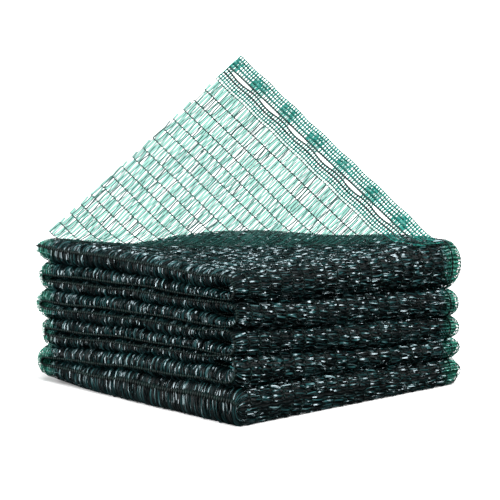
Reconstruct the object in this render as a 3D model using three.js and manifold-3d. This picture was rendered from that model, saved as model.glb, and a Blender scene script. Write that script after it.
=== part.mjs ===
// Shade cloth: knitted green netting, folded back and forth to a square packet of nine thick layers.
// The back corner of its top ply is lifted, and a band of buttonholes runs along that ply's edge.
// Millimetres, +Z up. X follows the wales, Y crosses them, and the origin is under the middle.
import * as THREE from "three";
import Module from "manifold-3d";

// The packet, a strip of folded plies that turns back at each side
const SIDE = 354;
const HALF = SIDE / 2;
const TURN_DEPTH = 15;
const SLIT = 1.4;
const SLIT_END = 4;
const MOUTH_FADE = 24;

// Heights of the top, of the slits between the layers and of the underside at the packet's corners.
// A slit gapes by its mouth at the side that open names: -1 where X is least, 1 where it is most.
const LEVELS = [
  { name: "top", left: 172, near: 170, right: 168, back: 144, mouth: 0, open: 0 },
  { name: "1 over 2", left: 146, near: 153, right: 142, back: 127, mouth: 5, open: -1 },
  { name: "2 over 3", left: 127.5, near: 141.5, right: 115.3, back: 113, mouth: 5, open: 1 },
  { name: "3 over 4", left: 111.5, near: 125.8, right: 98, back: 98, mouth: 2.5, open: -1 },
  { name: "4 over 5", left: 95, near: 110.4, right: 80.5, back: 83, mouth: 2, open: 1 },
  { name: "5 over 6", left: 78.8, near: 94.6, right: 67, back: 67, mouth: 2.5, open: -1 },
  { name: "6 over 7", left: 61.5, near: 80.5, right: 53.5, back: 53, mouth: 1.5, open: 1 },
  { name: "7 over 8", left: 45, near: 69, right: 43.5, back: 39, mouth: 2, open: -1 },
  { name: "8 over 9", left: 26, near: 46, right: 33.9, back: 24, mouth: 1.5, open: 1 },
  { name: "underside", left: 0, near: 0, right: 0, back: 0, mouth: 0, open: 0 },
];
const LAYERS = LEVELS.length - 1;

// How full a layer is near its rounded edges, by the distance in from the edge.
const EDGE = [
  { inward: 0, full: 0.24 },
  { inward: 4, full: 0.8 },
  { inward: 14, full: 1 },
];

// Unevenness: waves in the layers' faces, edges and turns that wander, a corner of the underside
// that lifts, and a hollow and a swell in the top behind the lifted ply.
const WAVE = { height: 1.3, length: 118, shared: 0.7, sharedLength: 248, slant: 0.4, step: 2.3 };
const EDGE_WANDER = 2.4;
const TURN_WANDER = { depth: 2.2, length: 260, step: 1.9 };
const CORNER_LIFT = { height: 10, reach: 190 };
const HOLLOW = { depth: 12, x: -HALF, y: -45, radius: 78 };
const SWELL = { height: 6, x: 90, y: HALF, radius: 90 };

// The lifted corner of the top ply, which lies on the packet and bends up along its diagonal
const NET = 2;
const DIAGONAL = HALF * Math.SQRT2;
const PLY_EDGE = HALF - 20.7;
const PLY_TIP = 4;
const RISE = THREE.MathUtils.degToRad(64);
const FOLD_FRONT = { corner: 3, middle: 30 };
const FOLD_RADIUS = { corner: 9, middle: 52 };
const ROOT = 16;
const CLEARANCE = 0.5;
const BILLOW = 20;

// The buttonhole band, ten needle spaces wide
const NEEDLE_SPACE = 4.23;
const BAND = 10 * NEEDLE_SPACE;
const BAND_LINE = 22.5;
const BAND_FOOT = 13;
const PARTING = 0.45;
const SLOT = { width: 4.6, closed: 1.5, length: 26, pitch: 48, first: 26, count: 6 };

// A buttonhole's outline: how open it is at each share of its length.
const SLOT_OUTLINE = [
  { share: -0.5, open: 0 },
  { share: -0.34, open: 0.8 },
  { share: 0, open: 1 },
  { share: 0.34, open: 0.8 },
  { share: 0.5, open: 0 },
];

// Steps of the surfaces
const TOP_STEPS = 8;
const LAYER_STEPS = 4;
const TURN_STEPS = 3;
const CROSS_STEPS = 8;
const PLY_STEPS = 14;
const FOOT_SHARES = [0.4, 0.75, 1];

const GREEN = 0x0d4a3c;
const BAND_GREEN = 0x14705a;

const wasm = await Module();
wasm.setup();

const mix = (a, b, share) => a + (b - a) * share;
const turnOf = (length, period) => (2 * Math.PI * length) / period;

function solid(corners, faces) {
  return new wasm.Manifold(
    new wasm.Mesh({
      numProp: 3,
      vertProperties: new Float32Array(corners),
      triVerts: new Uint32Array(faces),
    }),
  );
}

function addQuad(faces, a, b, c, d) {
  faces.push(a, b, c, a, c, d);
}

function levelAt(row, x, y) {
  const east = x / SIDE + 0.5;
  const north = y / SIDE + 0.5;
  const { left, near, right, back } = LEVELS[row];
  return mix(mix(left, near, east), mix(back, right, east), north);
}

function waveAt(row, x, y) {
  const shared = Math.sin(turnOf(x - WAVE.slant * y, WAVE.sharedLength));
  if (row === 0) return WAVE.height * WAVE.shared * shared;
  const own = Math.sin(turnOf(x + WAVE.slant * y, WAVE.length) + row * WAVE.step);
  return WAVE.height * (WAVE.shared * shared + own);
}

function slitAt(row, x) {
  const { mouth, open } = LEVELS[row];
  return SLIT + mouth * Math.exp((open * x - HALF) / MOUTH_FADE);
}

// 1 in the middle of a soft form in the top, and less around it.
function softness(form, x, y) {
  const away = Math.hypot(x - form.x, y - form.y) / form.radius;
  return Math.exp(-away * away);
}

function topAt(x, y) {
  const swell = SWELL.height * softness(SWELL, x, y);
  const hollow = HOLLOW.depth * softness(HOLLOW, x, y);
  return levelAt(0, x, y) + waveAt(0, x, y) + swell - hollow;
}

function undersideAt(x, y) {
  const near = Math.max(0, 1 - Math.hypot(x + HALF, y + HALF) / CORNER_LIFT.reach);
  return CORNER_LIFT.height * near * near;
}

function upperFace(layer, x, y) {
  if (layer === 0) return topAt(x, y);
  return levelAt(layer, x, y) + waveAt(layer, x, y) - slitAt(layer, x) / 2;
}

function lowerFace(layer, x, y) {
  const row = layer + 1;
  if (row === LAYERS) return undersideAt(x, y);
  return levelAt(row, x, y) + waveAt(row, x, y) + slitAt(row, x) / 2;
}

// The places along a layer, in the strip's direction, and how full the layer is there. The strip's
// two free edges, at the start of the first layer and the end of the last one, are rounded.
function placesAlong(layer) {
  const heading = layer % 2 ? -1 : 1;
  const reach = HALF - TURN_DEPTH;
  const places = [];
  const steps = layer === 0 ? TOP_STEPS : LAYER_STEPS;
  for (let i = 0; i <= steps; i++)
    places.push({ x: heading * mix(-reach, reach, i / steps), full: 1 });
  const freeEdge = (side) => EDGE.map(({ inward, full }) => ({ x: side * (HALF - inward), full }));
  if (layer === 0) places.splice(0, 1, ...freeEdge(-1));
  if (layer === LAYERS - 1) places.splice(-1, 1, ...freeEdge(1).reverse());
  return places;
}

// The turn from a layer to the next one down: an outer and an inner curve, point by point.
function turnAfter(layer, y) {
  const heading = layer % 2 ? -1 : 1;
  const start = heading * (HALF - TURN_DEPTH);
  const wander = Math.sin(turnOf(y, TURN_WANDER.length) + layer * TURN_WANDER.step);
  const depth = TURN_DEPTH + TURN_WANDER.depth * wander;
  const high = { outer: upperFace(layer, start, y), inner: lowerFace(layer, start, y) };
  const low = { outer: lowerFace(layer + 1, start, y), inner: upperFace(layer + 1, start, y) };
  const points = [];
  for (let i = 1; i <= TURN_STEPS; i++) {
    const share = i / (TURN_STEPS + 1);
    const angle = Math.PI * share;
    const down = (1 - Math.cos(angle)) / 2;
    const outer = [start + heading * depth * Math.sin(angle), mix(high.outer, low.outer, down)];
    const inner = [start + heading * SLIT_END * Math.sin(angle), mix(high.inner, low.inner, down)];
    points.push({ outer, inner, share });
  }
  return points;
}

// A cut across the strip at y: pairs of points on its left and right face, from its start in the
// first layer to its end in the last one, each with its place, counted in layers.
function cutAt(y) {
  const pairs = [];
  for (let layer = 0; layer < LAYERS; layer++) {
    const leftIsUp = layer % 2 === 0;
    for (const { x, full } of placesAlong(layer)) {
      const high = upperFace(layer, x, y);
      const low = lowerFace(layer, x, y);
      const middle = (high + low) / 2;
      const up = [x, mix(middle, high, full)];
      const down = [x, mix(middle, low, full)];
      pairs.push({ left: leftIsUp ? up : down, right: leftIsUp ? down : up, place: layer });
    }
    if (layer === LAYERS - 1) break;
    for (const { outer, inner, share } of turnAfter(layer, y))
      pairs.push({
        left: leftIsUp ? outer : inner,
        right: leftIsUp ? inner : outer,
        place: layer + share,
      });
  }
  return pairs;
}

// The strip's side edges wander in and out from layer to layer.
function wandered(y, place) {
  const shift = Math.sin(1.9 * place + 0.6) + 0.5 * Math.sin(4.3 * place);
  return y * (1 + (EDGE_WANDER * shift) / HALF);
}

function foldedStrip() {
  const reach = HALF - EDGE[EDGE.length - 1].inward;
  const front = EDGE.map(({ inward, full }) => ({ y: inward - HALF, full }));
  const between = [];
  for (let i = 1; i < CROSS_STEPS; i++)
    between.push({ y: mix(-reach, reach, i / CROSS_STEPS), full: 1 });
  const back = front.map(({ y, full }) => ({ y: -y, full })).reverse();

  const corners = [];
  function addCorner(pair, end, y, full) {
    const x = mix((pair.left[0] + pair.right[0]) / 2, end[0], full);
    const z = mix((pair.left[1] + pair.right[1]) / 2, end[1], full);
    corners.push(x, wandered(y, pair.place), z);
    return corners.length / 3 - 1;
  }
  const cuts = [...front, ...between, ...back].map(({ y, full }) => {
    const pairs = cutAt(y);
    const left = pairs.map((pair) => addCorner(pair, pair.left, y, full));
    const right = pairs.map((pair) => addCorner(pair, pair.right, y, full));
    return { left, right, ring: [...left, ...right.toReversed()] };
  });

  const faces = [];
  for (let j = 0; j + 1 < cuts.length; j++) {
    const here = cuts[j].ring;
    const next = cuts[j + 1].ring;
    here.forEach((corner, i) => {
      const k = (i + 1) % here.length;
      addQuad(faces, corner, here[k], next[k], next[i]);
    });
  }
  const first = cuts[0];
  const last = cuts[cuts.length - 1];
  for (let i = 0; i + 1 < first.left.length; i++) {
    addQuad(faces, first.left[i], first.right[i], first.right[i + 1], first.left[i + 1]);
    addQuad(faces, last.left[i], last.left[i + 1], last.right[i + 1], last.right[i]);
  }
  return solid(corners, faces);
}

// 1 at the middle of the lifted ply's fold, 0 at the packet's two corners.
function middleness(u, v) {
  return Math.max(0, 1 - ((u + v) / Math.SQRT2 / DIAGONAL) ** 2);
}

// Where a point of the top ply, laid out flat at (u, v), now is: flat on the packet in front of
// the diagonal, then bent up along it, and above that leaning back and billowing a little.
function plyAt(u, v) {
  const along = (u + v) / Math.SQRT2;
  const behind = (v - u) / Math.SQRT2;
  const middle = middleness(u, v);
  const start = -mix(FOLD_FRONT.corner, FOLD_FRONT.middle, middle);
  const radius = mix(FOLD_RADIUS.corner, FOLD_RADIUS.middle, middle);
  const run = behind - start;
  const angle = THREE.MathUtils.clamp(run / radius, 0, RISE);
  const straight = Math.max(0, run - radius * RISE);
  const share = straight / DIAGONAL;
  const billow = BILLOW * share * (1 - share) * middle;
  const out = start + Math.min(run, 0) + radius * Math.sin(angle) + straight * Math.cos(RISE);
  const up = radius * (1 - Math.cos(angle)) + straight * Math.sin(RISE);
  const foot = Math.min(out, start);
  const ground = topAt((along - foot) / Math.SQRT2, (along + foot) / Math.SQRT2);
  const back = out + billow;
  return new THREE.Vector3(
    (along - back) / Math.SQRT2,
    (along + back) / Math.SQRT2,
    ground + CLEARANCE + NET / 2 + up,
  );
}

function plyNormal(u, v) {
  const along = plyAt(u + 1, v).sub(plyAt(u - 1, v));
  const across = plyAt(u, v + 1).sub(plyAt(u, v - 1));
  return along.cross(across).normalize();
}

// Where the line of the ply at v starts to lift from the packet.
function liftOff(v) {
  let u = v;
  for (let i = 0; i < 6; i++)
    u = v + Math.SQRT2 * mix(FOLD_FRONT.corner, FOLD_FRONT.middle, middleness(u, v));
  return u;
}

// A sheet of the net's thickness over rows of the ply's (u, v) points, but for the cells that
// isHole names by row and column.
function sheet(rows, isHole) {
  const columns = rows[0].length;
  const corners = [];
  for (const row of rows)
    for (const [u, v] of row) {
      const half = plyNormal(u, v).multiplyScalar(NET / 2);
      const place = plyAt(u, v);
      corners.push(...place.clone().sub(half).toArray(), ...place.clone().add(half).toArray());
    }
  const cornerAt = (row, column) => 2 * (row * columns + column);
  const isCell = (row, column) =>
    row >= 0 && column >= 0 && row + 1 < rows.length && column + 1 < columns && !isHole(row, column);

  const faces = [];
  for (let row = 0; row + 1 < rows.length; row++)
    for (let column = 0; column + 1 < columns; column++) {
      if (!isCell(row, column)) continue;
      const below = [
        cornerAt(row, column),
        cornerAt(row, column + 1),
        cornerAt(row + 1, column + 1),
        cornerAt(row + 1, column),
      ];
      const above = below.map((corner) => corner + 1);
      addQuad(faces, ...above);
      addQuad(faces, ...below.toReversed());
      const beside = [
        [row - 1, column],
        [row, column + 1],
        [row + 1, column],
        [row, column - 1],
      ];
      beside.forEach(([otherRow, otherColumn], edge) => {
        if (isCell(otherRow, otherColumn)) return;
        const next = (edge + 1) % 4;
        addQuad(faces, below[edge], below[next], above[next], above[edge]);
      });
    }
  return solid(corners, faces);
}

function liftedPly() {
  const rows = [];
  for (let i = 0; i <= PLY_STEPS; i++) {
    const v = mix(PLY_TIP - HALF, PLY_EDGE - BAND - PARTING, i / PLY_STEPS);
    const end = liftOff(v) + ROOT;
    const row = [];
    for (let j = 0; j <= PLY_STEPS; j++) row.push([mix(-HALF, end, j / PLY_STEPS), v]);
    rows.push(row);
  }
  return sheet(rows, () => false);
}

function buttonholeBand() {
  const stops = [{ u: -HALF, open: 0 }];
  const slotColumns = [];
  for (let i = 0; i < SLOT.count; i++) {
    const middle = SLOT.first - HALF + i * SLOT.pitch;
    SLOT_OUTLINE.forEach(({ share, open }, step) => {
      if (step + 1 < SLOT_OUTLINE.length) slotColumns.push(stops.length);
      stops.push({ u: middle + share * SLOT.length, open });
    });
  }
  const line = PLY_EDGE - BAND_LINE;
  const halfSlot = (open) => mix(SLOT.closed, SLOT.width, open) / 2;
  const lines = [
    () => PLY_EDGE - BAND,
    (open) => line - halfSlot(open),
    (open) => line + halfSlot(open),
    () => PLY_EDGE,
  ];
  const lastStop = stops[stops.length - 1].u;
  const rows = lines.map((lineAt) => {
    const row = stops.map(({ u, open }) => [u, lineAt(open)]);
    const v = lineAt(0);
    for (const share of FOOT_SHARES) row.push([mix(lastStop, liftOff(v) - BAND_FOOT, share), v]);
    return row;
  });
  return sheet(rows, (row, column) => row === 1 && slotColumns.includes(column));
}

function meshOf(name, made, color) {
  const { vertProperties, triVerts } = made.getMesh();
  const geometry = new THREE.BufferGeometry();
  geometry.setAttribute("position", new THREE.Float32BufferAttribute(vertProperties, 3));
  geometry.setIndex(Array.from(triVerts));
  geometry.computeVertexNormals();
  const material = new THREE.MeshStandardMaterial({ color, roughness: 0.45, metalness: 0 });
  const mesh = new THREE.Mesh(geometry, material);
  mesh.name = name;
  return mesh;
}

const shadeCloth = new THREE.Group();
shadeCloth.add(meshOf("packet", foldedStrip(), GREEN));
shadeCloth.add(meshOf("lifted_corner", liftedPly(), GREEN));
shadeCloth.add(meshOf("buttonhole_band", buttonholeBand(), BAND_GREEN));

export default shadeCloth;
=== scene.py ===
import math
from collections import namedtuple

import bpy
import numpy as np
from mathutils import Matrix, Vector


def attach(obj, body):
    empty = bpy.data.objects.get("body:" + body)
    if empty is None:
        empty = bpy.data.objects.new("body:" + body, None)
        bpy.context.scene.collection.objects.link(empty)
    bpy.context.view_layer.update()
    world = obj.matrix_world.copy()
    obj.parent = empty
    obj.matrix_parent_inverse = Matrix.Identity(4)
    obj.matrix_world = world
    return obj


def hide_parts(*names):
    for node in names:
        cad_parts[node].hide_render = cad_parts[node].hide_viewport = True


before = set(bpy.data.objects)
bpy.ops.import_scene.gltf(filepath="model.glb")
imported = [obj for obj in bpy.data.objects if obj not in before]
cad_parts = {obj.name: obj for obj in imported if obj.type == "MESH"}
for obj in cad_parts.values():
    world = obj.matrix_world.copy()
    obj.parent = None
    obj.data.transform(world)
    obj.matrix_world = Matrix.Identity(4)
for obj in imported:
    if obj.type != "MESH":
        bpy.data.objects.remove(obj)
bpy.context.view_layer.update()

# The camera stands about 3 m from the packet and a little above it, and faces its near corner.
# A long lens keeps the edges of the layers nearly parallel.
CAMERA_PLACE = (2.1846, -2.0018, 0.617)
CAMERA_AIM = (0.0014, 0.0015, 0.160)
lens = bpy.data.cameras.new("camera")
lens.lens = 181.9
lens.sensor_width = 36
lens.clip_end = 100
camera = bpy.data.objects.new("camera", lens)
camera.location = CAMERA_PLACE
camera.rotation_euler = (Vector(CAMERA_AIM) - Vector(CAMERA_PLACE)).to_track_quat("-Z", "Y").to_euler()
bpy.context.scene.collection.objects.link(camera)
bpy.context.scene.camera = camera

# The packet: one long strip of knitted polyethylene net, folded back and forth into nine thick
# layers of about nine plies each. It turns back at the left and right sides, and its plies' edges
# are rounded over. This mesh stands for the plies that lie under the loose outer ones.
SIDE = 0.354
HALF = SIDE / 2
TURN_DEPTH = 0.015
SLIT = 0.0014
SLIT_END = 0.004
MOUTH_FADE = 0.024
# At the near corner the turns stand a little open, like loops.
LOOP = {"gape": 0.010, "x": HALF - 0.024, "width": 0.020, "depth": 0.040}
# Heights in millimetres at the left, near, right and back corner, then how far the slit gapes
# and at which side: -1 where X is least, 1 where it is most.
LEVELS = {
    "top": (172, 170, 168, 144, 0, 0),
    "1 over 2": (146, 153, 142, 127, 5, -1),
    "2 over 3": (127.5, 141.5, 115.3, 113, 5, 1),
    "3 over 4": (111.5, 125.8, 98, 98, 2.5, -1),
    "4 over 5": (95, 110.4, 80.5, 83, 2, 1),
    "5 over 6": (78.8, 94.6, 67, 67, 2.5, -1),
    "6 over 7": (61.5, 80.5, 53.5, 53, 1.5, 1),
    "7 over 8": (45, 69, 43.5, 39, 2, -1),
    "8 over 9": (26, 46, 33.9, 24, 1.5, 1),
    "underside": (0, 0, 0, 0, 0, 0),
}
levels = [np.array(row, float) for row in LEVELS.values()]
LAYERS = len(levels) - 1
EDGE_DEPTH = 0.014
EDGE_ROUND = 2.2
EDGE_LEAST = 0.03
WAVE = {"height": 0.0013, "length": 0.118, "shared": 0.7, "shared_length": 0.248, "slant": 0.4, "step": 2.3}
EDGE_WANDER = {"depth": 0.0024, "slow": 1.9, "start": 0.6, "fast": 4.3}
TURN_WANDER = {"depth": 0.0022, "length": 0.260, "step": 1.9}
CORNER_LIFT = {"height": 0.010, "reach": 0.190}
HOLLOW = {"depth": 0.012, "x": -HALF, "y": -0.045, "radius": 0.078}
SWELL = {"height": 0.006, "x": 0.090, "y": HALF, "radius": 0.090}
# Soft troughs pressed into the top: place, direction in degrees, half length, half width, depth.
CREASES = [
    (0.020, -0.060, 22, 0.110, 0.010, 0.0016),
    (0.070, -0.020, 30, 0.090, 0.008, 0.0014),
    (-0.030, -0.105, 12, 0.100, 0.009, 0.0018),
    (0.095, -0.105, 64, 0.070, 0.008, 0.0013),
    (-0.090, -0.120, 4, 0.060, 0.007, 0.0012),
]


def mixed(a, b, share):
    return a + (b - a) * share


def level_at(row, x, y):
    left, near, right, back = levels[row][:4] * 0.001
    east, north = x / SIDE + 0.5, y / SIDE + 0.5
    return mixed(mixed(left, near, east), mixed(back, right, east), north)


def wave_at(row, x, y):
    shared = np.sin(2 * math.pi * (x - WAVE["slant"] * y) / WAVE["shared_length"])
    if row == 0:
        return WAVE["height"] * WAVE["shared"] * shared
    own = np.sin(2 * math.pi * (x + WAVE["slant"] * y) / WAVE["length"] + row * WAVE["step"])
    return WAVE["height"] * (WAVE["shared"] * shared + own)


def slit_at(row, x, y):
    mouth, side = levels[row][4:]
    slit = SLIT + 0.001 * mouth * np.exp((side * x - HALF) / MOUTH_FADE)
    if side > 0:
        return slit
    away = ((x - LOOP["x"]) / LOOP["width"]) ** 2 + ((y + HALF) / LOOP["depth"]) ** 2
    return slit + LOOP["gape"] * np.exp(-away)


def crease_at(x, y):
    depth = 0 * x
    for at_x, at_y, degrees, half_length, half_width, deep in CREASES:
        along_x, along_y = math.cos(math.radians(degrees)), math.sin(math.radians(degrees))
        along = (x - at_x) * along_x + (y - at_y) * along_y
        across = (y - at_y) * along_x - (x - at_x) * along_y
        depth = depth + deep * np.exp(-((along / half_length) ** 4) - (across / half_width) ** 2)
    return depth


def softness(form, x, y):
    away = np.hypot(x - form["x"], y - form["y"]) / form["radius"]
    return np.exp(-away * away)


def top_at(x, y):
    swell = SWELL["height"] * softness(SWELL, x, y)
    hollow = HOLLOW["depth"] * softness(HOLLOW, x, y)
    return level_at(0, x, y) + wave_at(0, x, y) + swell - hollow


def upper_face(layer, x, y):
    if layer == 0:
        return top_at(x, y) - crease_at(x, y)
    return level_at(layer, x, y) + wave_at(layer, x, y) - slit_at(layer, x, y) / 2


def lower_face(layer, x, y):
    row = layer + 1
    if row == LAYERS:
        near = np.maximum(0, 1 - np.hypot(x + HALF, y + HALF) / CORNER_LIFT["reach"])
        return CORNER_LIFT["height"] * near * near
    return level_at(row, x, y) + wave_at(row, x, y) + slit_at(row, x, y) / 2


def fullness(inward):
    """The share of a layer's thickness that is left this far in from its rounded edge."""
    away = 1 - min(inward / EDGE_DEPTH, 1)
    return max(EDGE_LEAST, (1 - away**EDGE_ROUND) ** (1 / EDGE_ROUND))


LAYER_STEPS = 34
TURN_STEPS = 9
CROSS_STEPS = 46
EDGE_STEPS = 7
EDGE_CROWDING = 1.6
edge_ins = [EDGE_DEPTH * (i / EDGE_STEPS) ** EDGE_CROWDING for i in range(EDGE_STEPS)]
# One place along the strip: its points on the strip's left and right face, how many layers along
# it is, which of the two faces shows (0, 1 or None), and its share of the full thickness.
Stop = namedtuple("Stop", "faces layers shows full")


def stops_at(y):
    """The stops along the whole strip, at one place across it."""
    stops = []
    reach = HALF - TURN_DEPTH
    for layer in range(LAYERS):
        # The strip lies upside down in every other layer, so its left face is the lower one there.
        heading = -1 if layer % 2 else 1
        places = [(heading * mixed(-reach, reach, i / LAYER_STEPS), 1) for i in range(LAYER_STEPS + 1)]
        if layer == 0:
            places[:1] = [(-HALF + inward, fullness(inward)) for inward in edge_ins]
        if layer == LAYERS - 1:
            places[-1:] = [(HALF - inward, fullness(inward)) for inward in reversed(edge_ins)]
        for x, full in places:
            high, low = upper_face(layer, x, y), lower_face(layer, x, y)
            middle = (high + low) / 2
            faces = (x, mixed(middle, high, full)), (x, mixed(middle, low, full))
            stops.append(Stop(faces[::heading], layer, 0 if layer == 0 else None, full))
        if layer == LAYERS - 1:
            break
        start = heading * reach
        wander = math.sin(2 * math.pi * y / TURN_WANDER["length"] + layer * TURN_WANDER["step"])
        depth = TURN_DEPTH + TURN_WANDER["depth"] * wander
        for i in range(1, TURN_STEPS + 1):
            share = i / (TURN_STEPS + 1)
            out = heading * math.sin(math.pi * share)
            down = (1 - math.cos(math.pi * share)) / 2
            outer = mixed(upper_face(layer, start, y), lower_face(layer + 1, start, y), down)
            inner = mixed(lower_face(layer, start, y), upper_face(layer + 1, start, y), down)
            faces = (start + depth * out, outer), (start + SLIT_END * out, inner)
            stops.append(Stop(faces[::heading], layer + share, layer % 2, 1))
    return stops


# The strip's net lies on its faces by two lengths: u along the strip and v across it, round both
# faces. A point's place on this map is (u / MAP_LENGTH, 0.5 + v / MAP_WIDTH).
MAP_LENGTH = 4.2
MAP_WIDTH = 0.84
HALF_LAYER = 0.008
stations = [(-HALF + inward, fullness(inward)) for inward in edge_ins]
stations += [
    (mixed(-HALF + EDGE_DEPTH, HALF - EDGE_DEPTH, i / CROSS_STEPS), 1) for i in range(CROSS_STEPS + 1)
]
stations += [(HALF - inward, fullness(inward)) for inward in reversed(edge_ins)]
cross_lengths = [EDGE_LEAST * HALF_LAYER]
for (y0, full0), (y1, full1) in zip(stations, stations[1:]):
    cross_lengths.append(cross_lengths[-1] + math.hypot(y1 - y0, HALF_LAYER * (full1 - full0)))
middle_stops = stops_at(0.0)
strip_lengths = [0.0]
for before, after in zip(middle_stops, middle_stops[1:]):
    longer = max(math.dist(*ends) for ends in zip(before.faces, after.faces))
    strip_lengths.append(strip_lengths[-1] + longer)

SHOWN_EDGE = 0.022
BESIDE_TURN = 0.014


def edge_wander(layers):
    """How far the edges of the plies stand out of line, this many layers along the strip."""
    slow = math.sin(EDGE_WANDER["slow"] * layers + EDGE_WANDER["start"])
    return EDGE_WANDER["depth"] * (slow + 0.5 * math.sin(EDGE_WANDER["fast"] * layers))


def net_shows(stop, side, x, y):
    """Whether the net is seen here: at the edges, on the top, on the turns and just beside them."""
    if HALF - abs(y) < SHOWN_EDGE or stop.shows == side:
        return True
    beside_turn = abs(x) > HALF - TURN_DEPTH - BESIDE_TURN and stop.layers % 1 == 0
    return beside_turn and (stop.full < 1 or (x > 0) == (side == 0))


points, shown, maps = [], [], []
for (y, full), v in zip(stations, cross_lengths):
    stops = stops_at(y)
    for side in (0, 1):
        for stop, u in zip(stops, strip_lengths):
            x, z = [(left + right) / 2 for left, right in zip(*stop.faces)]
            face_x, face_z = stop.faces[side]
            wandered = y * (1 + edge_wander(stop.layers) / HALF)
            points.append((mixed(x, face_x, full), wandered, mixed(z, face_z, full)))
            shown.append(float(net_shows(stop, side, x, y)))
            maps.append((u / MAP_LENGTH, 0.5 + (v if side == 0 else -v) / MAP_WIDTH))

stop_count = len(middle_stops)
row_length = 2 * stop_count
END_ROUND = 0.002
faces, face_maps = [], []


def add_face(corners, wrapped=None):
    faces.append(corners)
    face_maps.extend(wrapped or [maps[c] for c in corners])


# The strip's left and right face and its two ends, and then the edges of its plies.
for j in range(len(stations) - 1):
    for i in range(stop_count - 1):
        a, b = j * row_length + i, (j + 1) * row_length + i
        add_face((a, a + 1, b + 1, b))
        a, b = a + stop_count, b + stop_count
        add_face((a, b, b + 1, a + 1))
    for i, flip in ((0, True), (stop_count - 1, False)):
        a, b = j * row_length + i, (j + 1) * row_length + i
        corners = (a, b, b + stop_count, a + stop_count) if flip else (a, a + stop_count, b + stop_count, b)
        end = maps[a][0] + (-END_ROUND if flip else END_ROUND)
        add_face(corners, [(end, maps[c][1]) for c in corners])
for j, flip in ((0, True), (len(stations) - 1, False)):
    for i in range(stop_count - 1):
        a = j * row_length + i
        b = a + stop_count
        if flip:
            add_face((a, b, b + 1, a + 1))
        else:
            edge = maps[a][1]
            corners = (a, a + 1, b + 1, b)
            add_face(corners, [(maps[c][0], edge if c < b else edge + END_ROUND) for c in corners])


def mesh_piece(name, vertices, polygons):
    mesh = bpy.data.meshes.new(name)
    mesh.from_pydata([tuple(v) for v in vertices], [], polygons)
    piece = bpy.data.objects.new(name, mesh)
    bpy.context.scene.collection.objects.link(piece)
    return piece


def lay_piece(name, vertices, polygons, flat_map, seen):
    """A smooth surface to lay a net on, with the net's flat map and where the net is seen."""
    piece = mesh_piece(name, vertices, polygons)
    piece.data.uv_layers.new(name="net map").data.foreach_set("uv", np.array(flat_map, float).ravel())
    piece.data.attributes.new("seen", "FLOAT", "POINT").data.foreach_set("value", np.array(seen, float))
    piece.data.polygons.foreach_set("use_smooth", [True] * len(polygons))
    piece.data.update()
    return piece


packet = lay_piece("packet_plies", points, faces, face_maps, shown)


class Wire:
    """One output socket of a node. Arithmetic on it adds the Math nodes that it stands for."""

    def __init__(self, tree, socket):
        self.tree = tree
        self.socket = socket

    def maths(self, operation, *values):
        return self.tree.add("ShaderNodeMath", {"operation": operation}, dict(enumerate(values)))[0]

    def __add__(self, other):
        return self.maths("ADD", self, other)

    def __radd__(self, other):
        return self.maths("ADD", other, self)

    def __sub__(self, other):
        return self.maths("SUBTRACT", self, other)

    def __rsub__(self, other):
        return self.maths("SUBTRACT", other, self)

    def __mul__(self, other):
        return self.maths("MULTIPLY", self, other)

    def __rmul__(self, other):
        return self.maths("MULTIPLY", other, self)

    def __truediv__(self, other):
        return self.maths("DIVIDE", self, other)

    def __rtruediv__(self, other):
        return self.maths("DIVIDE", other, self)

    def __pow__(self, other):
        return self.maths("POWER", self, other)

    def __lt__(self, other):
        return self.maths("LESS_THAN", self, other)

    def __gt__(self, other):
        return self.maths("GREATER_THAN", self, other)

    def sine(self):
        return self.maths("SINE", self)

    def cosine(self):
        return self.maths("COSINE", self)

    def floor(self):
        return self.maths("FLOOR", self)

    def size(self):
        return self.maths("ABSOLUTE", self)

    def sign(self):
        return self.maths("SIGN", self)

    def at_least(self, least):
        return self.maths("MAXIMUM", self, least)

    def clamped(self):
        return self.maths("MINIMUM", self.at_least(0.0), 1.0)


def chosen(sockets, name):
    if isinstance(name, int):
        return sockets[name]
    return next(s for s in sockets if s.name == name and s.enabled)


class Node:
    """A node whose outputs are read as wires, by name or by number."""

    def __init__(self, tree, node):
        self.tree = tree
        self.node = node

    def __getitem__(self, name):
        return Wire(self.tree, chosen(self.node.outputs, name))


class Tree:
    """An empty node tree of Blender's, and the nodes that the materials and nets are made of."""

    def __init__(self, plain):
        self.plain = plain
        plain.nodes.clear()

    def add(self, kind, settings=None, sockets=None):
        node = self.plain.nodes.new(kind)
        for name, value in (settings or {}).items():
            setattr(node, name, value)
        for name, value in (sockets or {}).items():
            socket = chosen(node.inputs, name)
            if isinstance(value, Wire):
                self.plain.links.new(value.socket, socket)
            else:
                socket.default_value = value
        return Node(self, node)

    def attribute(self, name):
        return self.add("ShaderNodeAttribute", {"attribute_name": name})["Fac"]

    def place(self):
        return self.add("ShaderNodeTexCoord")["Object"]

    def axes(self, vector):
        return self.add("ShaderNodeSeparateXYZ", {}, {"Vector": vector})

    def noise(self, place, scale, detail):
        sockets = {"Vector": place, "Scale": scale, "Detail": detail}
        return self.add("ShaderNodeTexNoise", {}, sockets)["Fac"]

    def blended(self, share, a, b):
        return self.add("ShaderNodeMix", {"data_type": "RGBA"}, {"Factor": share, "A": a, "B": b})["Result"]

    def plastic(self, sockets):
        return self.add("ShaderNodeBsdfPrincipled", {}, sockets)["BSDF"]


def finish_material(name, draw):
    """A new material: draw(tree) returns the shader wire that its surface shows."""
    material = bpy.data.materials.new(name)
    material.use_nodes = True
    tree = Tree(material.node_tree)
    tree.add("ShaderNodeOutputMaterial", {}, {"Surface": draw(tree)})
    return material


# Towards the left and right corners the colours turn green: the net's own green, lightened as painted light
# for the light that comes through the few plies there.
TIP_DARK = (0.004, 0.070, 0.044, 1)
TIP_REACH = HALF * math.sqrt(2) - 0.021
TIP_FADE = 0.016


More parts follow.
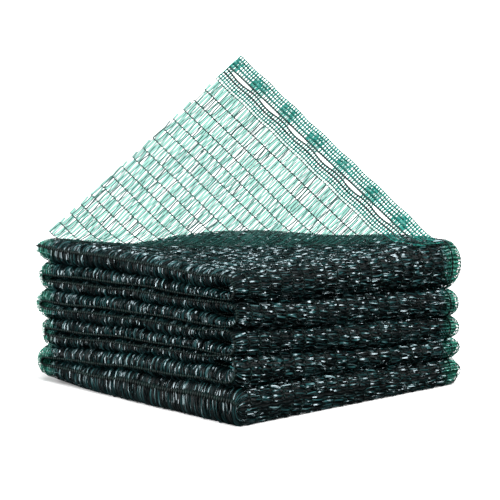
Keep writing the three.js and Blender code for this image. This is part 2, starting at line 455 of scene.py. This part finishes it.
def tip_share(tree, place):
    """1 at the left and right corners, where only a few plies lie and light comes through."""
    at = tree.axes(place)
    sideways = (at["X"] + at["Y"]).size() / math.sqrt(2)
    uneven = tree.noise(place, scale=160.0, detail=2.0) - 0.5
    return ((sideways - TIP_REACH) / TIP_FADE + uneven * 1.2).clamped()


# The plies' near-black colour is the dark green net together with painted shade: it stands for the shade deep
# among the packed plies under the loose outer ones.
PLY_DARK = (0.0006, 0.0022, 0.0024, 1)
PLY_LIGHT = (0.0025, 0.0090, 0.0095, 1)
WALE_PITCH = 0.0169
COURSE_PITCH = 0.0040


def draw_packed_plies(tree):
    along = tree.axes(tree.add("ShaderNodeUVMap", {"uv_map": "net map"})["UV"])
    course = along["X"] * (MAP_LENGTH / COURSE_PITCH)
    wale = along["Y"] * (MAP_WIDTH / WALE_PITCH)
    strands = (course * 2 * math.pi + (wale * 2 * math.pi).sine() * 1.2).sine() * 0.5 + 0.5
    place = tree.place()
    spots = tree.noise(place, scale=420.0, detail=3.0)
    patches = tree.noise(place, scale=30.0, detail=2.0)
    tone = (strands * 0.6 + spots * 0.8 + patches * 0.6 - 0.75).clamped()
    colour = tree.blended(tone, PLY_DARK, PLY_LIGHT)
    colour = tree.blended(tip_share(tree, place), colour, TIP_DARK)
    bump = tree.add("ShaderNodeBump", {}, {"Strength": 0.7, "Distance": 0.0008, "Height": strands + spots})
    return tree.plastic({
        "Base Color": colour, "Roughness": 0.5, "Specular IOR Level": 0.12, "Normal": bump["Normal"],
    })


packet.data.materials.append(finish_material("packed_plies", draw_packed_plies))

# The net over the packet's top, turns and edges: flat tapes laid zigzag between chains of
# stitches. It is knitted of dark green polyethylene, and the outer plies lie loose on each other.
# At the left and right corners the small squares of its selvedge show.


def knitting_tree(name, warp=None):
    """A tree that knits tapes or chain stitches flat over a map and then lays them on a surface."""
    tree = Tree(bpy.data.node_groups.new(name, "GeometryNodeTree"))
    interface = tree.plain.interface
    interface.new_socket(name="Geometry", in_out="OUTPUT", socket_type="NodeSocketGeometry")
    for kind, names in {
        "Geometry": ["Geometry"],
        "Int": ["Courses", "Wales", "Seed"],
        "Bool": ["Chain"],
        "Float": [
            "First Course", "First Wale", "Course Pitch", "Wale Pitch", "Map Length", "Map Width",
            "Width", "Width Spread", "Length", "Height", "Lie", "Lie Spread", "Loft", "Bow", "Zigzag",
            "Slant Spread", "Twist", "Jitter", "Thin Share", "Thin Width", "Drop Share",
        ],
        "Material": ["Material"],
    }.items():
        for socket_name in names:
            interface.new_socket(name=socket_name, in_out="INPUT", socket_type="NodeSocket" + kind)
    given = tree.add("NodeGroupInput")
    index = tree.add("GeometryNodeInputIndex")["Index"]
    position = tree.add("GeometryNodeInputPosition")["Position"]

    def changed(geometry, kind, sockets=None, settings=None):
        return tree.add(kind, settings, {"Geometry": geometry, **(sockets or {})})["Geometry"]

    def chance(step, low=0.0, high=1.0):
        sockets = {"Min": low, "Max": high, "ID": index, "Seed": given["Seed"] + step}
        return tree.add("FunctionNodeRandomValue", {"data_type": "FLOAT"}, sockets)["Value"]

    def stored(geometry, name, value):
        settings = {"data_type": "FLOAT", "domain": "POINT"}
        return changed(geometry, "GeometryNodeStoreNamedAttribute", {"Name": name, "Value": value}, settings)

    def read(name, kind="FLOAT"):
        return tree.add("GeometryNodeInputNamedAttribute", {"data_type": kind}, {"Name": name})[0]

    def sampled(value, kind, u, v):
        flat = {"X": u / given["Map Length"], "Y": 0.5 + v / given["Map Width"]}
        return tree.add("GeometryNodeSampleUVSurface", {"data_type": kind}, {
            "Mesh": given["Geometry"], "Value": value, "UV Map": read("net map", "FLOAT_VECTOR"),
            "Sample UV": tree.add("ShaderNodeCombineXYZ", {}, flat)["Vector"],
        })

    def kept(geometry, u, v):
        seen = sampled(read("seen"), "FLOAT", u, v)
        lost = (seen["Value"] * seen["Is Valid"]) < 0.5
        return changed(geometry, "GeometryNodeDeleteGeometry", {"Selection": lost})

    # One spot for each stitch or tape, on the flat map.
    column = (index / given["Courses"]).floor()
    row = index - column * given["Courses"]
    odd = row - (row / 2).floor() * 2
    u = given["First Course"] + (row + 0.5 + chance(1, -0.5, 0.5) * given["Jitter"]) * given["Course Pitch"]
    v = given["First Wale"] + column * given["Wale Pitch"]
    spots = tree.add("GeometryNodeMeshLine", {}, {"Count": given["Courses"] * given["Wales"]})["Mesh"]
    at = tree.add("ShaderNodeCombineXYZ", {}, {"X": u, "Y": v})["Vector"]
    spots = changed(spots, "GeometryNodeSetPosition", {"Position": at})
    spots = kept(spots, u, v + (1 - given["Chain"]) * given["Length"] / 2)
    at = tree.axes(position)
    thin = chance(2) < given["Thin Share"]
    width = given["Width"] * (1 + chance(3, -1, 1) * given["Width Spread"])
    for attribute, value in {
        "tone": chance(4),
        "thin": thin,
        "course": at["X"],
        "wale": at["Y"],
        "width": mixed(width, given["Thin Width"], thin),
        "slant": given["Zigzag"] * odd + chance(5, -1, 1) * given["Slant Spread"] * (1 + thin),
        "bow": chance(6, -1, 1) * given["Bow"],
        "loft": chance(7, -1, 1) * given["Loft"],
        "twist": chance(8, -1, 1) * given["Twist"],
        "turn": chance(9, -1, 1) * given["Twist"],
        "lie": chance(10) * given["Lie Spread"],
        "lost": chance(11) < given["Drop Share"],
    }.items():
        spots = stored(spots, attribute, value)
    spots = changed(spots, "GeometryNodeDeleteGeometry", {"Selection": read("lost") > 0.5})

    # A flat strip for a tape or a small bead for a chain stitch, put on every spot.
    tape_size = {"Size X": 1.0, "Size Y": 1.0, "Vertices X": 2, "Vertices Y": 5}
    tape = tree.add("GeometryNodeMeshGrid", {}, tape_size)["Mesh"]
    stitch = tree.add("GeometryNodeMeshUVSphere", {}, {"Segments": 4, "Rings": 2, "Radius": 0.5})["Mesh"]
    element = tree.add(
        "GeometryNodeSwitch", {"input_type": "GEOMETRY"},
        {"Switch": given["Chain"], "False": tape, "True": stitch},
    )["Output"]
    own = tree.axes(position)
    for attribute, axis in {"across": "X", "length": "Y", "up": "Z"}.items():
        element = stored(element, attribute, own[axis])
    laid = tree.add("GeometryNodeInstanceOnPoints", {}, {"Points": spots, "Instance": element})["Instances"]
    laid = changed(laid, "GeometryNodeRealizeInstances")

    # Each is slanted, bowed and twisted on the map, and then laid on the surface by its map.
    across, length, up = read("across"), read("length"), read("up")
    arch = 1 - 4 * length * length
    twist = read("twist") + read("turn") * length * 2
    u = read("course") + across * read("width") * twist.cosine() + read("slant") * length + read("bow") * arch
    v = read("wale") + mixed(length + 0.5, length, given["Chain"]) * given["Length"]
    lift = given["Lie"] + read("lie") + across * read("width") * twist.sine()
    lift = lift + read("loft") * arch + up * given["Height"]
    if warp:
        v = warp(v, u)
    laid = kept(laid, u, v)
    place = sampled(position, "FLOAT_VECTOR", u, v)["Value"]
    normal = sampled(tree.add("GeometryNodeInputNormal")["Normal"], "FLOAT_VECTOR", u, v)["Value"]
    raised = tree.add("ShaderNodeVectorMath", {"operation": "SCALE"}, {"Vector": normal, "Scale": lift})[0]
    final = tree.add("ShaderNodeVectorMath", {"operation": "ADD"}, {0: place, 1: raised})[0]
    laid = changed(laid, "GeometryNodeSetPosition", {"Position": final})
    for attribute in (
        "course", "wale", "width", "slant", "bow", "loft", "twist", "turn", "lie", "lost", "length", "up",
    ):
        laid = changed(laid, "GeometryNodeRemoveAttribute", {"Name": attribute})
    laid = changed(laid, "GeometryNodeSetShadeSmooth")
    laid = changed(laid, "GeometryNodeRealizeInstances")
    laid = changed(laid, "GeometryNodeSetMaterial", {"Material": given["Material"]})
    tree.add("NodeGroupOutput", {}, {"Geometry": laid})
    return tree.plain


LOWEST = 0.0003


def knitted(name, tree, lay, sizes, seen=None):
    """The plain mesh that the tree knits over a lay, with the modifier gone and nothing underground."""
    helper = bpy.data.objects.new(name + "_lay", lay.data.copy())
    if seen is not None:
        helper.data.attributes["seen"].data.foreach_set("value", np.array(seen, float))
    bpy.context.scene.collection.objects.link(helper)
    modifier = helper.modifiers.new("knit", "NODES")
    modifier.node_group = tree
    inputs = {item.name: item.identifier for item in tree.interface.items_tree if item.in_out == "INPUT"}
    for size, value in sizes.items():
        modifier[inputs[size]] = value
    helper.update_tag()
    bpy.context.view_layer.update()
    made = bpy.data.meshes.new_from_object(helper.evaluated_get(bpy.context.evaluated_depsgraph_get()))
    bpy.data.objects.remove(helper)
    places = np.empty(3 * len(made.vertices))
    made.vertices.foreach_get("co", places)
    places[2::3] = np.maximum(places[2::3], LOWEST)
    made.vertices.foreach_set("co", places)
    piece = bpy.data.objects.new(name, made)
    made.name = name
    bpy.context.scene.collection.objects.link(piece)
    return piece


def joined(name, *pieces):
    with bpy.context.temp_override(active_object=pieces[0], selected_editable_objects=list(pieces)):
        bpy.ops.object.join()
    pieces[0].name = pieces[0].data.name = name
    return pieces[0]


TAPE_DARK = (0.0008, 0.0040, 0.0045, 1)
TAPE_LIGHT = (0.012, 0.084, 0.087, 1)
GLINT = (0.74, 0.93, 1, 1)
# The corner greens below are partly the net's own colour and partly painted light, for the light that comes
# through the few plies at the corners.
TIP_MIDDLE = (0.006, 0.13, 0.085, 1)
TIP_GREEN = (0.020, 0.30, 0.19, 1)
TIP_PALE = (0.09, 0.50, 0.37, 1)
CHAIN_DARK = (0.0008, 0.0040, 0.0038, 1)
CHAIN_LIGHT = (0.0030, 0.015, 0.013, 1)


def draw_glossy_tape(tree):
    tone, place = tree.attribute("tone"), tree.place()
    colour = tree.blended(tone * tone, TAPE_DARK, TAPE_LIGHT)
    green = tree.blended(tone, TIP_DARK, TIP_GREEN)
    return tree.plastic({
        "Base Color": tree.blended(tip_share(tree, place) * 0.8, colour, green),
        "Roughness": 0.18 + tone * 0.22, "Specular IOR Level": 1.0, "Specular Tint": GLINT,
    })


def draw_tip_thread(tree):
    tone, place = tree.attribute("tone"), tree.place()
    colour = tree.blended(tone * tone, TIP_MIDDLE, TIP_PALE)
    colour = tree.blended(tip_share(tree, place), TAPE_LIGHT, colour)
    return tree.plastic({"Base Color": colour, "Roughness": 0.35})


def draw_dark_chain(tree):
    colour = tree.blended(tree.attribute("tone"), CHAIN_DARK, CHAIN_LIGHT)
    return tree.plastic({"Base Color": colour, "Roughness": 0.55, "Specular IOR Level": 0.1})


glossy_tape = finish_material("glossy_tape", draw_glossy_tape)
tip_thread = finish_material("tip_thread", draw_tip_thread)
dark_chain = finish_material("dark_chain", draw_dark_chain)

knit = knitting_tree("knit over a lay")
STRIP_END = strip_lengths[-1]
# The top's wales are in line with those of the lifted corner, which are counted from WALE_FIRST.
WALE_FIRST = 0.0250
in_line = cross_lengths[EDGE_STEPS] + (WALE_FIRST + HALF - EDGE_DEPTH)
wale_start = in_line - WALE_PITCH * math.floor((in_line + cross_lengths[-1]) / WALE_PITCH)
PACKET_NET = {
    "Map Length": MAP_LENGTH, "Map Width": MAP_WIDTH,
    "Courses": int(STRIP_END / COURSE_PITCH), "Course Pitch": COURSE_PITCH,
    "Wales": int(2 * cross_lengths[-1] / WALE_PITCH) + 2, "Wale Pitch": WALE_PITCH,
}
PLY_SHIFTS = {"top_tapes": 0.0, "under_tapes": 0.0004, "packet_deep_net": 0.0061}
top_tapes, under_tapes, packet_deep_net = [
    knitted(name, knit, packet, {
        **PACKET_NET, "Seed": 11 + 20 * ply, "Chain": False,
        "First Course": COURSE_PITCH / 2 * ply, "First Wale": wale_start - shift, "Length": WALE_PITCH,
        "Width": 0.0013, "Width Spread": 0.45, "Lie": 0.0016 - 0.0006 * ply, "Lie Spread": 0.0010,
        "Loft": 0.0018, "Bow": 0.0009, "Zigzag": 0.0018, "Slant Spread": 0.0014, "Twist": 1.4,
        "Jitter": 0.7, "Thin Share": 0.2, "Thin Width": 0.0006, "Drop Share": 0.12,
        "Material": glossy_tape,
    })
    for ply, (name, shift) in enumerate(PLY_SHIFTS.items())
]
packet_chains = knitted("packet_chains", knit, packet, {
    **PACKET_NET, "Seed": 5, "Chain": True, "First Course": 0.0, "First Wale": wale_start,
    "Length": 0.0036, "Width": 0.0056, "Height": 0.0016, "Lie": 0.0034, "Jitter": 0.2,
    "Material": dark_chain,
})
# The squares show where the strip's plies end, up to an uneven line: waves of depth and rate.
TIP_LINE = ((0.006, 260), (0.003, 610))
x, y, z = np.array(points).T
ragged = sum(depth * np.sin(z * rate) for depth, rate in TIP_LINE)
tip_seen = np.array(shown) * (np.abs(x + y) / math.sqrt(2) > TIP_REACH + ragged)
TIP_NEEDLE = 0.0042
TIP_COURSE = 0.0035
TIP_SQUARES = {
    "Map Length": MAP_LENGTH, "Map Width": MAP_WIDTH,
    "Courses": int(STRIP_END / TIP_COURSE), "Course Pitch": TIP_COURSE,
    "Wales": 190, "Wale Pitch": TIP_NEEDLE, "First Wale": -0.40, "Material": tip_thread,
}
tip_pillars = knitted("tip_pillars", knit, packet, {
    **TIP_SQUARES, "Seed": 51, "Chain": True, "Length": 0.0011, "Width": 0.0044, "Height": 0.0010,
    "Lie": 0.0030,
}, tip_seen)
tip_threads = knitted("tip_threads", knit, packet, {
    **TIP_SQUARES, "Seed": 52, "Chain": False, "Length": TIP_NEEDLE, "Width": 0.0010,
    "Width Spread": 0.4, "Lie": 0.0028, "Loft": 0.0006, "Twist": 0.6, "Jitter": 0.2,
}, tip_seen)
packet_net = joined("packet_net", top_tapes, packet_chains)
packet_under_net = joined("packet_under_net", under_tapes, tip_pillars, tip_threads)
for piece in (packet, packet_net, packet_under_net, packet_deep_net):
    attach(piece, "root")
    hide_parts("packet")

# The lifted corner of the top ply: the same knitted net, one ply of it, held up so that the light
# comes through. It bends up along the packet's diagonal and leans back a little. Between its flat
# tapes run single threads.
NET_THICK = 0.002
DIAGONAL = HALF * math.sqrt(2)
PLY_EDGE = HALF - 0.0207
RISE = math.radians(64)
FOLD_FRONT = (0.003, 0.030)
FOLD_RADIUS = (0.009, 0.052)
CLEARANCE = 0.0005
BILLOW = 0.020
NEEDLE_SPACE = 0.00423
BAND = 10 * NEEDLE_SPACE


def ply_at(u, v):
    """Where the point (u, v) of the ply's map now is, above the packet's top."""
    along, behind = (u + v) / math.sqrt(2), (v - u) / math.sqrt(2)
    middle = np.maximum(0, 1 - (along / DIAGONAL) ** 2)
    start = -mixed(*FOLD_FRONT, middle)
    radius = mixed(*FOLD_RADIUS, middle)
    run = behind - start
    angle = np.clip(run / radius, 0, RISE)
    straight = np.maximum(0, run - radius * RISE)
    share = straight / DIAGONAL
    billow = BILLOW * share * (1 - share) * middle
    out = start + np.minimum(run, 0) + radius * np.sin(angle) + straight * math.cos(RISE)
    up = radius * (1 - np.cos(angle)) + straight * math.sin(RISE)
    foot = np.minimum(out, start)
    ground = top_at((along - foot) / math.sqrt(2), (along + foot) / math.sqrt(2))
    back = out + billow
    height = ground + CLEARANCE + NET_THICK / 2 + up
    return np.stack([(along - back) / math.sqrt(2), (along + back) / math.sqrt(2), height], -1)


def lift_off(v):
    """The u at which a wale leaves the top, closed in on because the fold's front is curved."""
    u = v
    for _ in range(6):
        middle = max(0, 1 - ((u + v) / math.sqrt(2) / DIAGONAL) ** 2)
        u = v + math.sqrt(2) * mixed(*FOLD_FRONT, middle)
    return u


PLY_MAP = 0.5
SIDE_GAP = 0.004
LAY_SPARE = 0.002


def ply_lay(name, v_low, v_high, u_steps, v_steps, foot):
    """A surface for the net to lie on, between two wales, from the cut edge to past the fold."""
    u, v = [], []
    for j in range(v_steps + 1):
        across = mixed(v_low, v_high, j / v_steps)
        end = min(lift_off(across) + foot, HALF - SIDE_GAP)
        u.append(np.linspace(-HALF, end, u_steps + 1))
        v.append(np.full(u_steps + 1, across))
    u, v = np.array(u), np.array(v)
    vertices = ply_at(u, v).reshape(-1, 3)
    flat = np.stack([u / PLY_MAP + 0.5, 0.5 + v / PLY_MAP], -1).reshape(-1, 2)
    width = u_steps + 1
    polygons = [
        (a, a + 1, a + width + 1, a + width)
        for j in range(v_steps) for a in range(j * width, j * width + u_steps)
    ]
    face_map = [flat[c] for polygon in polygons for c in polygon]
    return lay_piece(name, vertices, polygons, face_map, [1.0] * len(vertices)), u.ravel()


STRETCH = {"first": WALE_FIRST + 2 * WALE_PITCH, "over": 3 * WALE_PITCH, "by": 0.005}
PALE_TAPE = (0.045, 0.115, 0.105, 1)
TAPE_RIM = (0.006, 0.055, 0.046, 1)
THIN_TAPE = (0.006, 0.075, 0.062, 1)
# Painted shade: low on the lifted corner, on the packet and just above it, the tapes are coloured darker,
# because no light comes through them from behind there.
FOOT_SHADE_COLOUR = (0.009, 0.045, 0.041, 1)
FOOT_SHADE_HEIGHT = 0.190
FOOT_SHADE_FADE = 0.025
CORNER_GLOW = (0.24, 0.48, 0.415, 1)


def stretched_at_band(v, u):
    """The last wales before the band stand further and further apart."""
    past = (v - STRETCH["first"]).at_least(0.0) / STRETCH["over"]
    return v + past * past * STRETCH["by"]


def lit_through(tree, lit, glow, share):
    """A surface that is solid by this share, and tints the light that comes through the rest."""
    clear = tree.add("ShaderNodeBsdfTransparent", {}, {"Color": glow})["BSDF"]
    return tree.add("ShaderNodeMixShader", {}, {0: share.clamped(), 1: clear, 2: lit})[0]


def draw_pale_tape(tree):
    tone, thin, across = tree.attribute("tone"), tree.attribute("thin"), tree.attribute("across")
    rim = ((across.size() - 0.24) / 0.14).clamped()
    colour = tree.blended((rim * 0.7 + tone * 0.2).clamped(), PALE_TAPE, TAPE_RIM)
    colour = tree.blended(thin, colour, THIN_TAPE)
    # Painted shade: darker towards the bottom, below the given height.
    height = tree.axes(tree.place())["Z"]
    colour = tree.blended(((FOOT_SHADE_HEIGHT - height) / FOOT_SHADE_FADE).clamped(), colour, FOOT_SHADE_COLOUR)
    lit = tree.plastic({"Base Color": colour, "Roughness": 0.4, "Specular IOR Level": 0.25})
    return lit_through(tree, lit, CORNER_GLOW, 0.05 + rim * 0.48 + thin * 0.80 + tone * 0.20)


pale_tape = finish_material("pale_tape", draw_pale_tape)
CORNER_STEPS = 90
corner_lay, corner_us = ply_lay(
    "corner_lay", -HALF + LAY_SPARE, PLY_EDGE - BAND + LAY_SPARE, CORNER_STEPS, CORNER_STEPS, foot=0.016
)
corner_ends = corner_us.reshape(CORNER_STEPS + 1, -1)[:, -1]
corner_area = float(np.mean(corner_ends + HALF)) * (PLY_EDGE - BAND + HALF)
corner_knit = knitting_tree("knit up to the band", stretched_at_band)
WALES_BELOW = 11
CORNER_NET = {
    "Map Length": PLY_MAP, "Map Width": PLY_MAP, "First Course": PLY_MAP / 2 - HALF,
    "First Wale": WALE_FIRST - WALES_BELOW * WALE_PITCH, "Wale Pitch": WALE_PITCH, "Wales": 16,
    "Courses": int(SIDE / COURSE_PITCH), "Course Pitch": COURSE_PITCH,
}
corner_tapes = knitted("corner_tapes", corner_knit, corner_lay, {
    **CORNER_NET, "Seed": 3, "Chain": False, "Length": WALE_PITCH, "Width": 0.0029,
    "Width Spread": 0.18, "Lie": 0.0, "Lie Spread": 0.0004, "Loft": 0.0006, "Bow": 0.0006,
    "Zigzag": -0.0022, "Slant Spread": 0.0005, "Twist": 0.25, "Jitter": 0.25, "Thin Share": 0.12,
    "Thin Width": 0.0018, "Material": pale_tape,
})
corner_chains = knitted("corner_chains", corner_knit, corner_lay, {
    **CORNER_NET, "Seed": 4, "Chain": True, "Length": 0.0019, "Width": 0.0066, "Height": 0.0013,
    "Lie": 0.0002, "Jitter": 0.1, "Material": dark_chain,
})
corner_threads = knitted("corner_threads", corner_knit, corner_lay, {
    **CORNER_NET, "Seed": 21, "Chain": False, "First Course": PLY_MAP / 2 - HALF + COURSE_PITCH / 2,
    "Length": WALE_PITCH, "Thin Share": 1.0, "Thin Width": 0.0010, "Drop Share": 0.25, "Lie": 0.0006,
    "Loft": 0.0006, "Bow": 0.0010, "Zigzag": -0.0010, "Slant Spread": 0.0006, "Jitter": 0.4,
    "Material": pale_tape,
})
corner_net = joined("corner_net", corner_tapes, corner_threads, corner_chains)
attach(corner_net, "root")
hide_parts("lifted_corner")
bpy.data.objects.remove(corner_lay)

# The buttonhole band: pillars of chain stitch, one for each needle, with short cross threads, all
# of green polyethylene thread and knitted in one with the net. One needle is left empty, and its
# gap is bridged only between the buttonholes.
SLOT_LINE = PLY_EDGE - 0.0225
SLOT = {"half_width": 0.0031, "pinched": 0.0014, "length": 0.026, "pitch": 0.048, "first": 0.026 - HALF}
SLOT_LENS = {"reach": 0.62, "power": 2.2}
EDGE_WAVE = 0.0006
BAND_COURSE = 0.00345
OUTER_EDGE = PLY_EDGE - 0.0004
OUTER_FLANK = OUTER_EDGE - 4 * NEEDLE_SPACE
INNER_FLANK = OUTER_EDGE - 6 * NEEDLE_SPACE
INNER_EDGE = OUTER_EDGE - 10 * NEEDLE_SPACE


def spread_slots(v, u):
    """Moves the band's pillars to the sides of the buttonholes, and near each other between them."""
    at = (u - (PLY_MAP / 2 + SLOT["first"])) / SLOT["pitch"]
    off = (at - (at + 0.5).floor()) * SLOT["pitch"]
    opening = (1 - (off / (SLOT["length"] * SLOT_LENS["reach"])).size() ** SLOT_LENS["power"]).clamped()
    beside = v - SLOT_LINE
    side = beside.sign()
    flank = mixed(OUTER_FLANK - SLOT_LINE, SLOT_LINE - INNER_FLANK, side < 0)
    away = beside.size() / flank
    move = mixed(SLOT["pinched"], SLOT["half_width"], opening) - flank
    return v + side * (2 - away).clamped() * away.clamped() * move - (at * 2 * math.pi).cosine() * EDGE_WAVE


band_knit = knitting_tree("knit round buttonholes", spread_slots)
THREAD_DARK, THREAD_LIGHT = (0.006, 0.15, 0.120, 1), (0.02, 0.30, 0.25, 1)
PILLAR_DARK, PILLAR_LIGHT = (0.004, 0.11, 0.090, 1), (0.016, 0.23, 0.19, 1)
FLANK_DARK, FLANK_LIGHT = (0.002, 0.018, 0.016, 1), (0.006, 0.06, 0.05, 1)
BAND_GLOW = (0.035, 0.31, 0.25, 1)


def band_material(name, dark, light, solid):
    def draw(tree):
        tone = tree.attribute("tone")
        colour = tree.blended(tone, dark, light)
        lit = tree.plastic({"Base Color": colour, "Roughness": 0.4, "Specular IOR Level": 0.3})
        return lit_through(tree, lit, BAND_GLOW, tone * 0.3 + (solid - 0.15))
    return finish_material(name, draw)


band_thread = band_material("band_thread", THREAD_DARK, THREAD_LIGHT, 0.55)
band_pillar = band_material("band_pillar", PILLAR_DARK, PILLAR_LIGHT, 0.72)
band_flank = band_material("band_flank", FLANK_DARK, FLANK_LIGHT, 0.97)
band_lay, band_us = ply_lay(
    "band_lay", INNER_EDGE - LAY_SPARE, OUTER_EDGE + LAY_SPARE, u_steps=130, v_steps=16, foot=0.03
)


def off_row(first):
    """How far each point of the band is from the nearest of a row of places, a pitch apart."""
    at = (band_us - first) / SLOT["pitch"]
    return np.abs(at - np.round(at)) * SLOT["pitch"]


# Between the buttonholes are thick patches with twice the threads, and one at the band's tip.
PATCH = {"after_slot": 0.021, "half_length": 0.0105, "tip": -0.165}
between_slots = off_row(SLOT["first"]) > SLOT["length"] / 2
in_patch = (off_row(SLOT["first"] + PATCH["after_slot"]) < PATCH["half_length"]) | (band_us < PATCH["tip"])


def band_part(name, seen, material, seed, first_wale, wales, sizes):
    return knitted(name, band_knit, band_lay, {
        "Map Length": PLY_MAP, "Map Width": PLY_MAP, "First Course": PLY_MAP / 2 - HALF,
        "Course Pitch": BAND_COURSE, "Courses": int(SIDE / BAND_COURSE), "Wale Pitch": NEEDLE_SPACE,
        "First Wale": first_wale, "Wales": wales, "Seed": seed, "Material": material, **sizes,
    }, seen)


PILLAR = {"Chain": True, "Length": 0.0027, "Width": 0.0078, "Height": 0.0010}
THREAD = {
    "Chain": False, "Length": NEEDLE_SPACE, "Width": 0.0021, "Width Spread": 0.25, "Loft": 0.0004,
    "Slant Spread": 0.0005, "Twist": 0.4, "Jitter": 0.2,
}
PATCH_THREAD = {**THREAD, "Width": 0.0013, "First Course": PLY_MAP / 2 - HALF + BAND_COURSE / 2}
INNER_RIM, OUTER_RIM = {**PILLAR, "Length": 0.0034}, {**PILLAR, "Length": 0.0036}
band_net = joined(
    "band_net",
    band_part("last_wale", None, dark_chain, 6, INNER_EDGE, 1, {**PILLAR, "Length": 0.0014}),
    band_part("inner_pillars", None, band_pillar, 7, INNER_EDGE + NEEDLE_SPACE, 2, PILLAR),
    band_part("inner_flank", None, band_flank, 8, INNER_FLANK - NEEDLE_SPACE, 2, INNER_RIM),
    band_part("bridge_pillar", between_slots, band_pillar, 9, OUTER_FLANK - NEEDLE_SPACE, 1, PILLAR),
    band_part("outer_flank", None, band_flank, 10, OUTER_FLANK, 1, OUTER_RIM),
    band_part("outer_pillars", None, band_pillar, 12, OUTER_FLANK + NEEDLE_SPACE, 3, PILLAR),
    band_part("edge_pillar", None, band_thread, 13, OUTER_EDGE, 1, {**PILLAR, "Length": 0.0016}),
    band_part("last_threads", None, pale_tape, 18, INNER_EDGE, 1, {**THREAD, "Width": 0.0020}),
    band_part("inner_threads", None, band_thread, 14, INNER_EDGE + NEEDLE_SPACE, 3, THREAD),
    band_part("bridge_threads", between_slots, band_thread, 15, INNER_FLANK, 2, THREAD),
    band_part("outer_threads", None, band_thread, 16, OUTER_FLANK, 4, THREAD),
    band_part("patch_threads", in_patch, band_pillar, 17, OUTER_FLANK, 3, PATCH_THREAD),
)
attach(band_net, "root")
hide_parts("buttonhole_band")
bpy.data.objects.remove(band_lay)

# A plain white floor in a pale studio. Large soft lamps stand in front, at the left, at the right
# and, weakly, behind. A fifth shines up at the left face, in place of the floor's own reflection.
FLOOR_REACH = 40
FLOOR_WHITE = (0.93, 0.93, 0.93, 1)


def draw_white_floor(tree):
    return tree.plastic({"Base Color": FLOOR_WHITE, "Roughness": 0.9, "Specular IOR Level": 0.1})


floor = mesh_piece(
    "floor", [(x * FLOOR_REACH, y * FLOOR_REACH, 0) for x, y in ((-1, -1), (1, -1), (1, 1), (-1, 1))],
    [(0, 1, 2, 3)],
)
floor.data.materials.append(finish_material("white_floor", draw_white_floor))
floor.visible_glossy = False
floor.visible_diffuse = False
floor.visible_shadow = False

# The camera sees the world brighter than the object is lit by it.
WORLD_LIGHT = 0.11
WORLD_SEEN = 1.1
world = bpy.data.worlds.new("studio")
bpy.context.scene.world = world
world.use_nodes = True
sky = Tree(world.node_tree)
strength = mixed(WORLD_LIGHT, WORLD_SEEN, sky.add("ShaderNodeLightPath")["Is Camera Ray"])
studio = sky.add("ShaderNodeBackground", {}, {"Color": (1, 1, 1, 1), "Strength": strength})["Background"]
sky.add("ShaderNodeOutputWorld", {}, {"Surface": studio})

# Each lamp's direction, its width in degrees and its strength.
LAMPS = {
    "front_lamp": ((0.39, -0.36, 0.93), 44, 3.3),
    "left_lamp": ((-0.68, -0.64, 0.30), 36, 4.0),
    "right_lamp": ((0.57, 0.53, 0.60), 36, 3.8),
    "back_lamp": ((-0.66, 0.62, 0.35), 60, 0.5),
    "floor_bounce": ((-0.70, -0.64, -0.20), 40, 2.3),
}
for name, (source, spread, power) in LAMPS.items():
    lamp = bpy.data.lights.new(name, "SUN")
    lamp.angle = math.radians(spread)
    lamp.energy = power
    light = bpy.data.objects.new(name, lamp)
    light.rotation_euler = Vector(source).to_track_quat("Z", "Y").to_euler()
    bpy.context.scene.collection.objects.link(light)
bpy.context.scene.view_settings.view_transform = "Standard"
